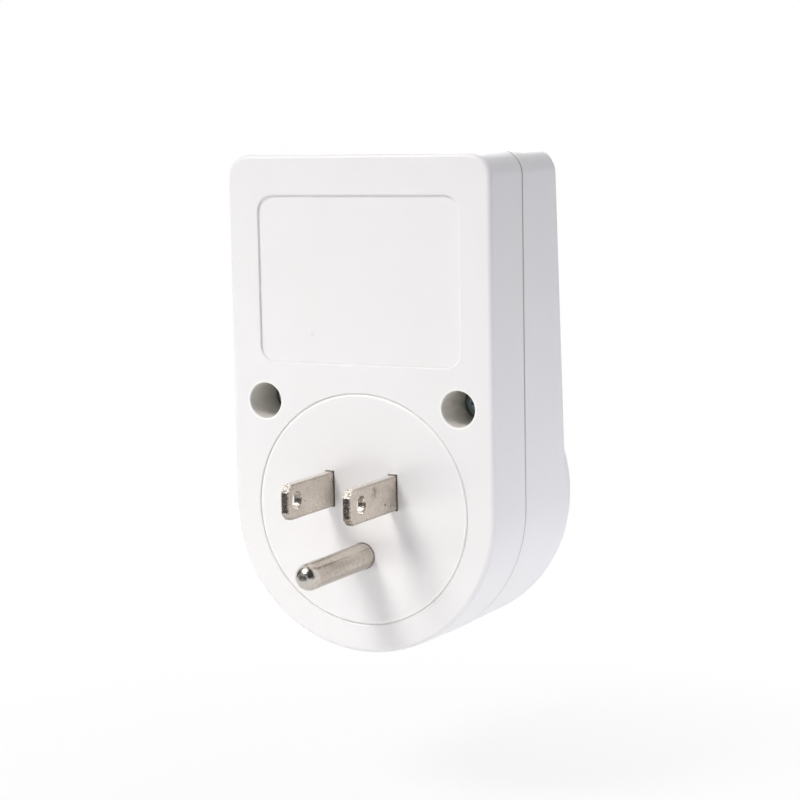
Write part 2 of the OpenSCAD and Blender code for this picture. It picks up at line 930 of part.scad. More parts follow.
module neutral_blade() {
    color("silver")
        placed()
            translate([-blade_x, blade_y, 0])
                blade(neutral_reach);
}

// Round pin: a half-ball tip, a slimmer root moulded into the plug base, a flange and a stud behind it
module ground_pin() {
    tip = pin_r - pin_reach;
    stud_foot = pad_z + pin_flange_t;
    color("silver")
        placed()
            translate([0, pin_y, 0])
                rotate_extrude() {
                    polygon([[0, tip], [pin_r, tip], [pin_r, -pin_root_out], [pin_root_r, -pin_root_out],
                        [pin_root_r, pad_z], [pin_flange_r, pad_z], [pin_flange_r, stud_foot],
                        [pin_stud_r, stud_foot],
                        [pin_stud_r, stud_foot + tail_len], [0, stud_foot + tail_len]]);
                    translate([0, tip])
                        intersection() {
                            circle(r = pin_r);
                            translate([0, -pin_r])
                                square([pin_r, pin_r]);
                        }
                }
}

// Outlet slot with a chamfered mouth
module outlet_slot(length) {
    slab(slot_w, length, outlet_back - cut, collar_depth + cut);
    mouth = slot_w / 2 + lead_in + cut;
    across_y(length)
        polygon([[-slot_w / 2, collar_depth - lead_in], [slot_w / 2, collar_depth - lead_in],
            [mouth, collar_depth + cut], [-mouth, collar_depth + cut]]);
}

// Ground opening: round below, straight towards the slots
module ground_opening() {
    translate([0, pin_y, outlet_back - cut])
        linear_extrude(collar_depth - outlet_back + 2 * cut) {
            circle(r = ground_r);
            translate([-ground_r, 0])
                square([2 * ground_r, ground_r]);
        }
}

// Places its children at angles round the plug's middle
module at_angles(angles, radius) {
    for (angle = angles)
        translate([radius * cos(angle), radius * sin(angle), 0])
            children();
}

module at_carrier_screws() {
    at_angles(carrier_screw_angles, carrier_r - small_post_r - fit)
        children();
}

module outlet_face() {
    color("white")
        placed()
            difference() {
                union() {
                    rotate_extrude()
                        polygon([[0, outlet_back], [flange_r, outlet_back],
                            [flange_r, outlet_back + outlet_flange_t - fit / 2],
                            [disc_r - ring_gap, outlet_back + outlet_flange_t - fit / 2],
                            [disc_r - ring_gap, collar_depth - seam_bevel],
                            [disc_r - ring_gap - seam_bevel, collar_depth], [0, collar_depth]]);
                    at_carrier_screws()
                        rod(small_post_r, carrier_z + carrier_t, outlet_back + outlet_flange_t / 2);
                }
                translate([blade_x, blade_y, 0])
                    outlet_slot(line_slot);
                translate([-blade_x, blade_y, 0])
                    outlet_slot(neutral_slot);
                ground_opening();
                at_carrier_screws()
                    rod(small_screw_r + fit / 2, carrier_z, carrier_z + carrier_screw_len + cut / 2);
            }
}

// Moulded block behind the outlet face: two chambers for the flat contacts and one for the ground contact
module contact_carrier() {
    chamber_low = chamber_back - chamber_back_t;
    tail_low = chamber_low - cut;
    color("whitesmoke")
        placed()
            difference() {
                union() {
                    rod(carrier_r, carrier_z, carrier_z + carrier_t);
                    at_blades()
                        slab(2 * (chamber_half_t + chamber_wall), chamber_w + 2 * chamber_wall,
                            chamber_low, outlet_back);
                    translate([0, pin_y, 0])
                        rod(ground_chamber_r + chamber_wall, chamber_low, outlet_back);
                    at_angles(column_angles, carrier_r - column_r)
                        rod(column_r, wall + flange_t, carrier_z + carrier_t / 2);
                }
                at_blades() {
                    slab(2 * chamber_half_t, chamber_w, chamber_back, outlet_back + cut);
                    slab(contact_t + 2 * fit, contact_tail_w + 2 * fit, tail_low, chamber_back + cut);
                }
                translate([0, pin_y, 0]) {
                    rod(ground_chamber_r, chamber_back, outlet_back + cut);
                    rod(pin_r + 2 * fit, tail_low, chamber_back + cut);
                    block([-ground_tail_w / 2 - fit, -sleeve_r - contact_t - fit, tail_low],
                        [ground_tail_w / 2 + fit, 0, chamber_back + cut]);
                }
                at_carrier_screws()
                    rod(small_screw_r + 2 * fit, carrier_z - cut, carrier_z + carrier_t + cut);
            }
}

module carrier_screws() {
    color("dimgray")
        placed()
            at_carrier_screws()
                pan_screw(carrier_z, small_head_r, small_head_h, small_screw_r, carrier_screw_len);
}

// Flat contact: two sprung leaves on a folded base, and a tail for the wire
module flat_contact() {
    foot = chamber_back + fit + contact_t / 2;
    mouth = outlet_back - contact_mouth_inset;
    rise = mouth - foot;
    side = [[contact_base_gap, 0], [contact_base_gap, rise * contact_leaf_shares[0]],
        [contact_pinch_gap, rise * contact_leaf_shares[1]],
        [contact_pinch_gap, rise * contact_leaf_shares[2]], [contact_mouth_gap, rise]];
    right = [for (p = side) [(p.x + contact_t) / 2, foot + p.y]];
    left = [for (i = [len(right) - 1:-1:0]) [-right[i].x, right[i].y]];
    strip(concat(left, right), contact_t, contact_w);
    slab(contact_t, contact_tail_w, chamber_back - chamber_back_t - contact_tail_len, foot);
}

module line_contact() {
    color("goldenrod")
        placed()
            translate([blade_x, blade_y, 0])
                flat_contact();
}

module neutral_contact() {
    color("goldenrod")
        placed()
            translate([-blade_x, blade_y, 0])
                flat_contact();
}

// Split sleeve with a flared mouth and a flat tail
module ground_contact() {
    tail_low = chamber_back - chamber_back_t - contact_tail_len;
    foot = chamber_back + fit;
    mouth = outlet_back - contact_mouth_inset;
    color("goldenrod")
        placed()
            translate([0, pin_y, 0]) {
                rotate([0, 0, 90 + sleeve_open_angle / 2])
                    rotate_extrude(angle = 360 - sleeve_open_angle)
                        polygon([[sleeve_r, foot], [sleeve_r + contact_t, foot],
                            [sleeve_r + contact_t, mouth - contact_mouth_inset],
                            [sleeve_r + contact_t + sleeve_mouth_flare, mouth],
                            [sleeve_r + sleeve_mouth_flare, mouth],
                            [sleeve_r, mouth - contact_mouth_inset]]);
                block([-ground_tail_w / 2, -sleeve_r - contact_t, tail_low],
                    [ground_tail_w / 2, -sleeve_r, foot + contact_tail_len]);
            }
}

module at_relay() {
    translate([0, relay_y, board_face])
        children();
}

module relay_pin_bores(z0, z1) {
    for (at = coil_pins)
        translate(at)
            rod(coil_pin_r + fit, z0, z1);
    for (at = relay_pin_places)
        translate(at)
            rod(relay_pin_r + fit, z0, z1);
}

module board_outline() {
    middle_y = (board_top_y + tongue_y) / 2;
    translate([0, middle_y])
        rounded_rect(2 * board_half_w, board_top_y - tongue_y, board_corner_r);
    translate([-tongue_half_w, board_low_y])
        square([2 * tongue_half_w, middle_y - board_low_y]);
}

module main_board() {
    color("darkgreen")
        placed()
            difference() {
                translate([0, 0, board_z])
                    linear_extrude(board_t)
                        board_outline();
                for (at = lead_places)
                    translate(at)
                        rod(lead_r + fit, board_z - cut, board_face + cut);
                at_relay()
                    relay_pin_bores(-board_t - cut, cut);
                for (at = concat(board_screw_places, board_peg_places))
                    translate(at)
                        rod(small_screw_r + fit, board_z - cut, board_face + cut);
            }
}

module board_screws() {
    color("dimgray")
        placed()
            for (at = board_screw_places)
                translate(at)
                    mirror([0, 0, 1])
                        pan_screw(-board_face, small_head_r, small_head_h, small_screw_r, board_screw_len);
}

module relay_base() {
    plug_l = relay_l / 2 - relay_wall - fit;
    plug_w = relay_w / 2 - relay_wall - fit;
    color("dimgray")
        placed()
            at_relay()
                difference() {
                    union() {
                        block([-relay_l / 2, -relay_w / 2, 0], [relay_l / 2, relay_w / 2, relay_rim]);
                        block([-plug_l, -plug_w, 0], [plug_l, plug_w, relay_floor]);
                        translate([stop_x, 0, 0]) {
                            slab(stop_t, stop_w, relay_rim, stop_z + stop_t);
                            block([0, -stop_w / 2, stop_z], [stop_reach, stop_w / 2, stop_z + stop_t]);
                        }
                    }
                    relay_pin_bores(-cut, relay_floor + cut);
                }
}

module relay_cover() {
    color("steelblue")
        placed()
            at_relay()
                difference() {
                    block([-relay_l / 2, -relay_w / 2, relay_rim], [relay_l / 2, relay_w / 2, relay_h]);
                    block([relay_wall - relay_l / 2, relay_wall - relay_w / 2, relay_rim - cut],
                        [relay_l / 2 - relay_wall, relay_w / 2 - relay_wall, relay_h - relay_wall]);
                }
}

module relay_bobbin() {
    tube_r = core_r + bobbin_wall;
    color("ivory")
        placed()
            at_relay()
                difference() {
                    union() {
                        translate([coil_x, 0, 0])
                            rotate_extrude()
                                polygon([[core_r + fit / 2, bobbin_low], [coil_r + bobbin_lip, bobbin_low],
                                    [coil_r + bobbin_lip, bobbin_low + bobbin_wall],
                                    [tube_r, bobbin_low + bobbin_wall], [tube_r, bobbin_high - bobbin_wall],
                                    [coil_r + bobbin_lip, bobbin_high - bobbin_wall],
                                    [coil_r + bobbin_lip, bobbin_high], [core_r + fit / 2, bobbin_high]]);
                        block([coil_pins[0].x - terminal_wall, coil_r - bobbin_wall, bobbin_low],
                            [coil_pins[1].x + terminal_wall, coil_pins[0].y + terminal_wall,
                            bobbin_low + bobbin_wall]);
                        block([coil_pins[0].x - terminal_wall, coil_r + bobbin_lip, bobbin_low],
                            [coil_pins[1].x + terminal_wall, coil_pins[0].y + terminal_wall,
                            bobbin_low + terminal_h]);
                    }
                    for (at = coil_pins)
                        translate(at)
                            rod(coil_pin_r + fit / 2, bobbin_low - cut, bobbin_low + terminal_h + cut);
                }
}

module relay_coil() {
    color("chocolate")
        placed()
            at_relay()
                translate([coil_x, 0, 0])
                    rotate_extrude()
                        translate([core_r + bobbin_wall + fit / 2, bobbin_low + bobbin_wall])
                            square([coil_r - core_r - bobbin_wall - fit / 2,
                                bobbin_high - bobbin_low - 2 * bobbin_wall]);
}

module relay_coil_pins() {
    color("silver")
        placed()
            at_relay()
                for (at = coil_pins)
                    translate(at)
                        rod(coil_pin_r, -board_t - lead_out, bobbin_low + terminal_h + lead_out);
}

module relay_core() {
    color("silver")
        placed()
            at_relay()
                translate([coil_x, 0, 0]) {
                    rod(core_r, relay_floor + fit, yoke_top - pole_t / 2);
                    rod(pole_r, yoke_top - pole_t, yoke_top);
                }
}

// Bent iron frame: a foot under the coil, an upright beside it and two tails through the board
module relay_yoke() {
    foot = relay_floor + fit;
    color("silver")
        placed()
            at_relay() {
                difference() {
                    across_y(yoke_w)
                        polygon([[yoke_end, foot], [hinge_x, foot], [hinge_x, yoke_top],
                            [hinge_x - yoke_t, yoke_top], [hinge_x - yoke_t, foot + yoke_t],
                            [yoke_end, foot + yoke_t]]);
                    translate([coil_x, 0, 0])
                        rod(core_r + fit / 2, foot - cut, foot + yoke_t + cut);
                }
                for (at = yoke_pins)
                    translate(at)
                        rod(relay_pin_r, -board_t - lead_out, foot + yoke_t / 2);
            }
}

// Turns its children, drawn pulled in, about the yoke's edge to where they rest
module at_rest() {
    at_relay()
        translate([hinge_x, 0, hinge_z])
            rotate([0, swing, 0])
                translate([-hinge_x, 0, -hinge_z])
                    children();
}

module relay_armature() {
    color("silver")
        placed()
            at_rest() {
                block([armature_end, -armature_w / 2, hinge_z],
                    [hinge_x - armature_back, armature_w / 2, hinge_z + armature_t]);
                for (at = rivets)
                    translate(at)
                        rod(rivet_r, hinge_z + armature_t / 2, leaf_z + 2 * leaf_t);
            }
}

module relay_moving_leaf() {
    color("goldenrod")
        placed()
            at_rest()
                difference() {
                    block([leaf_end, -leaf_w / 2, leaf_z], [leaf_start, leaf_w / 2, leaf_z + leaf_t]);
                    for (at = rivets)
                        translate(at)
                            rod(rivet_r + fit / 2, leaf_z - cut, leaf_z + leaf_t + cut);
                    translate([contact_x, 0, 0])
                        rod(rivet_r + fit / 2, leaf_z - cut, leaf_z + leaf_t + cut);
                }
}

module relay_moving_button() {
    color("lightgray")
        placed()
            at_rest()
                translate([contact_x, 0, 0]) {
                    rod(button_r, leaf_z - button_t, leaf_z);
                    rod(rivet_r, leaf_z - button_t / 2, leaf_z + 2 * leaf_t);
                }
}

module relay_fixed_contact() {
    color("goldenrod")
        placed()
            at_relay() {
                difference() {
                    strip([[fixed_x, relay_floor + fit], [fixed_x, shelf_z - fixed_strip_t / 2],
                        [contact_x + button_r, shelf_z - fixed_strip_t / 2]], fixed_strip_t, fixed_strip_w);
                    translate([contact_x, 0, 0])
                        rod(rivet_r + fit / 2, shelf_z - fixed_strip_t - cut, shelf_z + cut);
                }
                for (at = fixed_pins)
                    translate(at)
                        rod(relay_pin_r, -board_t - lead_out, relay_floor + 2 * fixed_strip_t);
            }
}

module relay_fixed_button() {
    color("lightgray")
        placed()
            at_relay()
                translate([contact_x, 0, 0]) {
                    rod(button_r, shelf_z, shelf_z + button_t);
                    rod(rivet_r, shelf_z - fixed_strip_t - leaf_t, shelf_z + button_t / 2);
                }
}

// Leaf spring on the yoke's back that bends over the armature and holds it open
module relay_return_spring() {
    out = [sin(swing), cos(swing)];
    along = [-cos(swing), sin(swing)];
    over = [hinge_x, hinge_z] + out * (armature_t + hinge_gap + leaf_t / 2);
    back_x = hinge_x + leaf_t / 2;
    bend = over + along * (over.x - back_x) / cos(swing);
    color("goldenrod")
        placed()
            at_relay()
                strip([[back_x, relay_floor + spring_rise], bend, bend + along * spring_reach],
                    leaf_t, leaf_w);
}

module varistor() {
    centre = board_face + standoff + varistor_r;
    color("royalblue")
        placed()
            translate(varistor_at) {
                translate([0, 0, centre])
                    rotate([0, 90, 0])
                        rotate_extrude() {
                            translate([0, -varistor_t / 2])
                                square([varistor_r - varistor_t / 2, varistor_t]);
                            translate([varistor_r - varistor_t / 2, 0])
                                circle(r = varistor_t / 2);
                        }
                for (at = pair_y([0, 0], varistor_r))
                    translate(at)
                        rod(lead_r, lead_floor, centre - varistor_r / 2);
            }
}

module dropper_capacitor() {
    color("gold")
        placed()
            translate(dropper_at) {
                translate([0, 0, board_face + standoff / 2])
                    linear_extrude(dropper_size.z)
                        rounded_rect(dropper_size.x, dropper_size.y, dropper_corner_r);
                for (at = pair_y([0, 0], dropper_pitch))
                    translate(at)
                        rod(lead_r, lead_floor, board_face + standoff);
            }
}

module smoothing_capacitor() {
    foot = board_face + standoff / 2;
    color("midnightblue")
        placed() {
            translate(smoothing_at)
                rotate_extrude()
                    polygon([[0, foot], [smoothing_r, foot], [smoothing_r, foot + groove_z],
                        [smoothing_r - groove_depth, foot + groove_z + groove_depth],
                        [smoothing_r, foot + groove_z + 2 * groove_depth],
                        [smoothing_r, foot + smoothing_h - groove_depth],
                        [smoothing_r - groove_depth, foot + smoothing_h], [0, foot + smoothing_h]]);
            for (at = pair_x(smoothing_at, smoothing_pitch))
                translate(at)
                    rod(lead_r, lead_floor, foot + standoff);
        }
}

// Block-shaped package whose legs leave its sides and pass through the board
module bridge_rectifier() {
    middle = board_face + standoff / 2 + bridge_size.z / 2;
    color("black")
        placed() {
            translate([bridge_at.x, bridge_at.y, middle]) {
                cube(bridge_size, center = true);
                for (side = [-1, 1])
                    translate([side * bridge_leg_x, 0, 0])
                        cube([2 * lead_r, 2 * bridge_leg_y, 2 * lead_r], center = true);
            }
            for (at = bridge_legs)
                translate(at)
                    rod(lead_r, lead_floor, middle + lead_r);
        }
}

module board_resistors() {
    axis_z = board_face + standoff / 2 + resistor_r;
    low = tongue_mid_y - resistor_pitch / 2;
    high = tongue_mid_y + resistor_pitch / 2;
    lead = [[low, lead_floor], [low, axis_z], [high, axis_z], [high, lead_floor]];
    color("tan")
        placed()
            for (x = resistor_xs) {
                side_wire(x, lead, lead_r, 2 * lead_r);
                translate([x, tongue_mid_y + resistor_len / 2, axis_z])
                    rotate([90, 0, 0])
                        cylinder(r = resistor_r, h = resistor_len);
            }
}

// Small flat package with bent legs on both long sides
module control_chip() {
    middle = board_face + standoff / 2 + chip_size.z / 2;
    knee = chip_size.y / 2 + standoff / 2;
    foot = board_face + chip_leg_t / 2;
    leg = [[chip_size.y / 2 - chip_leg_t, middle], [knee, middle], [knee, foot],
        [knee + standoff / 2, foot]];
    color("black")
        placed()
            translate(chip_at) {
                translate([0, 0, middle])
                    cube(chip_size, center = true);
                for (i = [0:chip_legs - 1], side = [-1, 1])
                    translate([(i - (chip_legs - 1) / 2) * chip_leg_pitch, 0, 0])
                        rotate([0, 0, side * 90])
                            strip(leg, chip_leg_t, 2 * chip_leg_t);
            }
}

module driver_transistor() {
    foot = board_face + 2 * standoff;
    color("black")
        placed() {
            translate(transistor_at)
                difference() {
                    rod(transistor_r, foot, foot + transistor_h);
                    block([-transistor_r, -transistor_r, foot - cut],
                        [transistor_r, -transistor_r / 2, foot + transistor_h + cut]);
                }
            for (at = transistor_leads)
                translate(at)
                    rod(lead_r, lead_floor, foot + lead_r);
        }
}

// Round indicator that stands on two long leads and looks through the front panel
module led(x) {
    tip = led_panel_z + led_proud;
    base = tip - led_len;
    placed() {
        translate([x, led_y, 0])
            rotate_extrude() {
                polygon([[0, base], [led_rim_r, base], [led_rim_r, base + led_rim_t],
                    [led_r, base + led_rim_t], [led_r, tip - led_r], [0, tip - led_r]]);
                translate([0, tip - led_r])
                    intersection() {
                        circle(r = led_r);
                        square([led_r, led_r]);
                    }
            }
        for (at = pair_x([x, led_y], led_lead_pitch))
            translate(at)
                rod(lead_r, lead_floor, base + led_rim_t / 2);
    }
}

module led_green() {
    color("limegreen")
        led(-led_pitch);
}

module led_yellow() {
    color("gold")
        led(0);
}

module led_red() {
    color("red")
        led(led_pitch);
}

// Wire from a blade's tail to the board
module tail_to_board(x) {
    side_wire(x, [[blade_y + blade_w / 2 - tail_inset, plug_wire_z], [wire_pad_low, plug_wire_z],
        [wire_pad_low, board_face]], wire_r, wire_bend);
}

module line_in_wire() {
    color("black")
        placed()
            tail_to_board(blade_x);
}

module neutral_tap_wire() {
    color("whitesmoke")
        placed()
            tail_to_board(-blade_x);
}

module line_out_wire() {
    color("black")
        placed()
            side_wire(blade_x, [[blade_y + contact_tail_w / 2, outlet_wire_z],
                [wire_pad_high, outlet_wire_z], [wire_pad_high, board_face]], wire_r, wire_bend);
}

module neutral_link_wire() {
    start = blade_y - blade_w / 2 + tail_inset;
    low = start - link_bow;
    color("whitesmoke")
        placed()
            side_wire(-blade_x, [[start, plug_wire_z], [low, plug_wire_z], [low, outlet_wire_z],
                [blade_y - contact_tail_w / 2, outlet_wire_z]], wire_r, wire_bend);
}

module ground_link_wire() {
    start = pin_y - pin_stud_r;
    low = start - ground_link_bow;
    stud_z = pad_z + pin_flange_t + tail_len / 2;
    color("green")
        placed()
            side_wire(0, [[start, stud_z], [low, stud_z], [low, outlet_wire_z],
                [pin_y - sleeve_r - contact_t, outlet_wire_z]], wire_r, wire_bend);
}

rear_cover();
front_cover();
housing_screws();
plug_base();
line_blade();
neutral_blade();
ground_pin();
outlet_face();
contact_carrier();
carrier_screws();
line_contact();
neutral_contact();
ground_contact();
main_board();
board_screws();
relay_base();
relay_cover();
relay_bobbin();
relay_coil();
relay_coil_pins();
relay_core();
relay_yoke();
relay_armature();
relay_moving_leaf();
relay_moving_button();
relay_fixed_contact();
relay_fixed_button();
relay_return_spring();
varistor();
dropper_capacitor();
smoothing_capacitor();
bridge_rectifier();
board_resistors();
control_chip();
driver_transistor();
led_green();
led_yellow();
led_red();
line_in_wire();
line_out_wire();
neutral_tap_wire();
neutral_link_wire();
ground_link_wire();
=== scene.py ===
"""A plug-in voltage protector on a plain white ground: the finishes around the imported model."""

import json
import math

import bpy
from mathutils import Matrix, Vector


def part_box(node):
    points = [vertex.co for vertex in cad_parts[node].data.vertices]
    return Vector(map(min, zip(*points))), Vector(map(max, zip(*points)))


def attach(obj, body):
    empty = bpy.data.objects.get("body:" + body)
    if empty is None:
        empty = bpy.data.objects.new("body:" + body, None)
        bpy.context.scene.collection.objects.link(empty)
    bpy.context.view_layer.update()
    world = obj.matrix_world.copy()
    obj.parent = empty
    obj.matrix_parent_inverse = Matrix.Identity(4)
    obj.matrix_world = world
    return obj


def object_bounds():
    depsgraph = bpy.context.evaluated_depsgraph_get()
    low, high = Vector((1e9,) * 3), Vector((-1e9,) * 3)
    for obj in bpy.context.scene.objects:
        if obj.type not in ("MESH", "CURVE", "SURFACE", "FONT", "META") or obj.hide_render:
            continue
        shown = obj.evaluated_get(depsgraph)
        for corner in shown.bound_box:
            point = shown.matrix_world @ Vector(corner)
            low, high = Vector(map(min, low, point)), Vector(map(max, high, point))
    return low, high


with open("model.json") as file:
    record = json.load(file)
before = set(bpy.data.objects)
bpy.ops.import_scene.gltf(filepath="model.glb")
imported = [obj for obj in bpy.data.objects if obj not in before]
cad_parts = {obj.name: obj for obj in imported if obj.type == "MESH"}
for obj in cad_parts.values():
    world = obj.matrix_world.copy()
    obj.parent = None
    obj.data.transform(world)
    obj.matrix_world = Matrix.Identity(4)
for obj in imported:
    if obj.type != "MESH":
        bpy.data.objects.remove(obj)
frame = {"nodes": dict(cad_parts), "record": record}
cad_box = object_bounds()
nodes = frame["nodes"]

MM = 0.001

# Camera: where it stands, and its right and up directions
CAMERA_AT = Vector((-185.66, 347.14, 69.76)) * MM
CAMERA_RIGHT = Vector((-0.89123, -0.45319, -0.01825))
CAMERA_UP = Vector((0.04102, -0.12062, 0.99185))
CAMERA_LENS = 100.28
CAMERA_SENSOR = 36.0
CAMERA_NEAR = 0.01
CAMERA_FAR = 20.0

# Studio: the point that the lamps face, the light from all round, and the colours of lamps
MIDDLE = Vector((0, 0, 0.02))
AMBIENT = (0.94, 0.933, 1.0)
AMBIENT_STRENGTH = 0.37
WHITE = (1.0, 1.0, 1.0)
WARM = (1.0, 0.981, 0.95)
COOL = (0.93, 0.93, 1.0)

# Floor: its drop below the object, and how the object's shadow fades out to plain white
FLOOR_DROP = 30 * MM
FLOOR_SIZE = 0.44
FLOOR_GREY = (0.88, 0.88, 0.88)
SHADOW_NEAR = 0.04
SHADOW_FAR = 0.13
SHADOW_SHARE = 0.18

# The unlit side of the room, as part of a sphere: its angles in degrees, and its glow at the foot
# and above it
DOME_R = 1.3
DOME_FROM = -8.0
DOME_TO = 165.0
DOME_LOW = -9.0
DOME_HIGH = 112.0
DOME_FOOT = 0.16
DOME_FOOT_GLOW = 0.7
DOME_GLOW = 0.045
DOME_STEPS = 30

# The share of a card's half width that glows like its middle
CARD_MIDDLE = 0.55

# Noise is mostly between these values
NOISE_LOW = 0.3
NOISE_HIGH = 0.7

# A speck's radius as a share of its cell, and the share of a mark's radius that is fully dark
SPECK_R = 0.16
MARK_CORE = 0.45

# Housing: its white plastic, a few brown specks, and the dust in the seam, which is thinner lower down
HOUSING_WHITE = (0.865, 0.86, 0.862)
HOUSING_WARM = (0.858, 0.85, 0.848)
SPECK_BROWN = (0.42, 0.38, 0.33)
SEAM_AT = -12.8 * MM
DUST_CORE = 0.18 * MM
DUST_END = 0.3 * MM
DUST_BROWN = (0.33, 0.255, 0.18)
DUST_THIN = 0.4
DUST_THIN_BELOW = -10 * MM
DUST_FULL_ABOVE = 20 * MM

# Screw recesses: painted shade, warmer and duller on their walls and near black at their foot
SCREW_HEAD_R = 2.7 * MM
RECESS_R = 3.4 * MM
RECESS_FROM = -0.3 * MM
RECESS_TO = -1.2 * MM
RECESS_SHADE = (0.785, 0.755, 0.68)
FOOT_SHADE_FROM = -9.5 * MM
FOOT_SHADE_TO = -10.1 * MM
FOOT_SHADE = (0.035, 0.038, 0.04)

# The rounded edges at the wall face, round the screw recesses and on the plug base, carry a painted
# highlight
RECESS_RIM_R = 3.4 * MM
RECESS_HIGHLIGHT_SHARE = 0.9
BASE_RIM_R = 20.6 * MM
BASE_HIGHLIGHT_SHARE = 0.7
RIM_CORE = 0.1 * MM
RIM_END = 0.24 * MM
RIM_FROM = -0.42 * MM
RIM_TO = -0.3 * MM
HIGHLIGHT_WHITE = (0.98, 0.975, 0.965)

# The line of weld flash at the foot of the groove round the plug base
GROOVE_INNER = 20.78 * MM
GROOVE_OUTER = 21.08 * MM
GROOVE_DEPTH = 0.36 * MM
GROOVE_STEPS = 144
FLASH_LIGHT = (0.8, 0.78, 0.74)
FLASH_DARK = (0.77, 0.74, 0.69)

# Prongs: their nickel plate, and its grain, which is drawn out along them
NICKEL = (0.7, 0.635, 0.565)
NICKEL_DARK = (0.56, 0.5, 0.435)
DRAWN = (5, 1, 5)

# Ground pin: its polished end, and painted shade underneath
BALL_FROM = 19.4 * MM
SHAFT_END = 20.0 * MM
BALL_CLEAN = 21.6 * MM
POLISHED = (0.62, 0.588, 0.553)
UNDERSIDE_SHADE_FROM = -8.6 * MM
UNDERSIDE_SHADE_TO = -10.6 * MM

# Lines that the drawing die left along the pin: the turn from the top and half width in radians, and
# how strongly each shows. A line is darkest in the core of its width. Past the second line the pin is
# painted a little darker, as painted shade on its lower side
DIE_LINES = ((0.08, 0.09, 0.75), (0.82, 0.05, 0.5))
DIE_LINE_CORE = 0.4
DIE_LINE_BROWN = (0.16, 0.13, 0.11)
SIDE_SHADE_FROM = 0.8
SIDE_SHADE_TO = 0.86

# Blades: a painted dark reflection along the bevels of the broad face, a painted highlight on the upper
# edge, a painted dark reflection over the grain of the sheared end, and a smudge and a dot on the
# neutral one
BLADE_HALF = 3.175 * MM
BLADE_BEVEL = 0.2 * MM
BEVEL_LINE_CORE = 0.08 * MM
BEVEL_LINE_END = 0.2 * MM
BEVEL_REFLECTION_DARK = (0.2, 0.17, 0.15)
UPPER_EDGE_HIGHLIGHT = (0.9, 0.86, 0.8)
SHEARED_END_REFLECTION = (0.12, 0.11, 0.11)
SMUDGE_AT = Vector((-7.11, 8.4, 4.8)) * MM
SMUDGE_R = 1.5 * MM
SMUDGE_BROWN = (0.3, 0.2, 0.12)
DOT_AT = Vector((-7.11, 4.53, 2.1)) * MM
DOT_R = 0.3 * MM
DOT_BROWN = (0.07, 0.04, 0.03)

# Screws: dull blue-grey zinc plate
ZINC = (0.5, 0.63, 0.7)
ZINC_DARK = (0.34, 0.44, 0.5)

# Plastic parts inside, by material slot: colour, roughness and clear coat
PLASTICS = {
    "carrier_plastic": ((0.72, 0.7, 0.64), 0.5, 0.0),
    "relay_black": ((0.02, 0.02, 0.022), 0.45, 0.0),
    "relay_blue": ((0.03, 0.11, 0.32), 0.25, 0.5),
    "varistor_blue": ((0.02, 0.07, 0.34), 0.22, 0.7),
    "film_yellow": ((0.74, 0.45, 0.03), 0.28, 0.4),
    "capacitor_sleeve": ((0.015, 0.02, 0.06), 0.25, 0.4),
    "package_black": ((0.018, 0.018, 0.02), 0.5, 0.0),
    "resistor_tan": ((0.56, 0.42, 0.22), 0.4, 0.0),
}

# Sheet metal parts, by material slot: colour, darker colour, lowest and highest roughness
METALS = {
    "contact_brass": ((0.72, 0.5, 0.22), (0.55, 0.36, 0.14), 0.22, 0.4),
    "relay_iron": ((0.55, 0.55, 0.56), (0.4, 0.4, 0.42), 0.28, 0.45),
    "contact_silver": ((0.82, 0.81, 0.78), (0.65, 0.64, 0.61), 0.18, 0.35),
}

# Wire sleeves, by material slot
SLEEVES = {
    "wire_black": (0.02, 0.02, 0.02),
    "wire_white": (0.75, 0.74, 0.7),
    "wire_green": (0.02, 0.2, 0.05),
}

# Indicator lamps, by material slot: the node and the colour of its resin
LAMPS = {
    "lens_green": ("led_green", (0.05, 0.62, 0.12)),
    "lens_yellow": ("led_yellow", (0.85, 0.55, 0.02)),
    "lens_red": ("led_red", (0.8, 0.025, 0.02)),
}
LAMP_LENGTH = 5.3 * MM
RESIN_IOR = 1.5
RESIN_CLEAR = 0.55
TINNED = (0.66, 0.65, 0.63)

# Circuit board and coil
BOARD_GREEN = (0.02, 0.16, 0.06)
TRACK_GREEN = (0.035, 0.26, 0.1)
BOARD_SHADE = (0.01, 0.09, 0.04)
COPPER = (0.55, 0.2, 0.06)
COPPER_DARK = (0.16, 0.045, 0.012)


def add_object(name, data, at=(0, 0, 0)):
    thing = bpy.data.objects.new(name, data)
    thing.location = at
    bpy.context.scene.collection.objects.link(thing)
    return thing


def point_at(thing, aim, axis):
    """Turns an object so that its own axis points from where it stands to the aim."""
    thing.rotation_mode = "QUATERNION"
    thing.rotation_quaternion = (Vector(aim) - thing.location).to_track_quat(axis, "Y")


def make_mesh(name, points, faces):
    """A mesh from its corners and the corners of each face."""
    mesh = bpy.data.meshes.new(name)
    mesh.from_pydata(points, [], faces)
    return mesh


def flat_sheet(name, width, height):
    """A rectangle round its own middle, facing up."""
    x = width / 2
    y = height / 2
    return make_mesh(name, [(-x, -y, 0), (x, -y, 0), (x, y, 0), (-x, y, 0)], [(0, 1, 2, 3)])


def make_camera():
    data = bpy.data.cameras.new("camera")
    data.lens = CAMERA_LENS
    data.sensor_width = CAMERA_SENSOR
    data.clip_start = CAMERA_NEAR
    data.clip_end = CAMERA_FAR
    camera = add_object("camera", data)
    back = CAMERA_RIGHT.cross(CAMERA_UP)
    turn = Matrix((CAMERA_RIGHT, CAMERA_UP, back)).transposed()
    camera.matrix_world = Matrix.Translation(CAMERA_AT) @ turn.to_4x4()
    bpy.context.scene.camera = camera


def area_light(name, at, aim, width, height, watts, colour=WHITE, in_gloss=True):
    data = bpy.data.lights.new(name, "AREA")
    data.shape = "RECTANGLE"
    data.size = width
    data.size_y = height
    data.energy = watts
    data.color = colour
    light = add_object(name, data, at)
    point_at(light, aim, "-Z")
    light.visible_camera = False
    light.visible_glossy = in_gloss


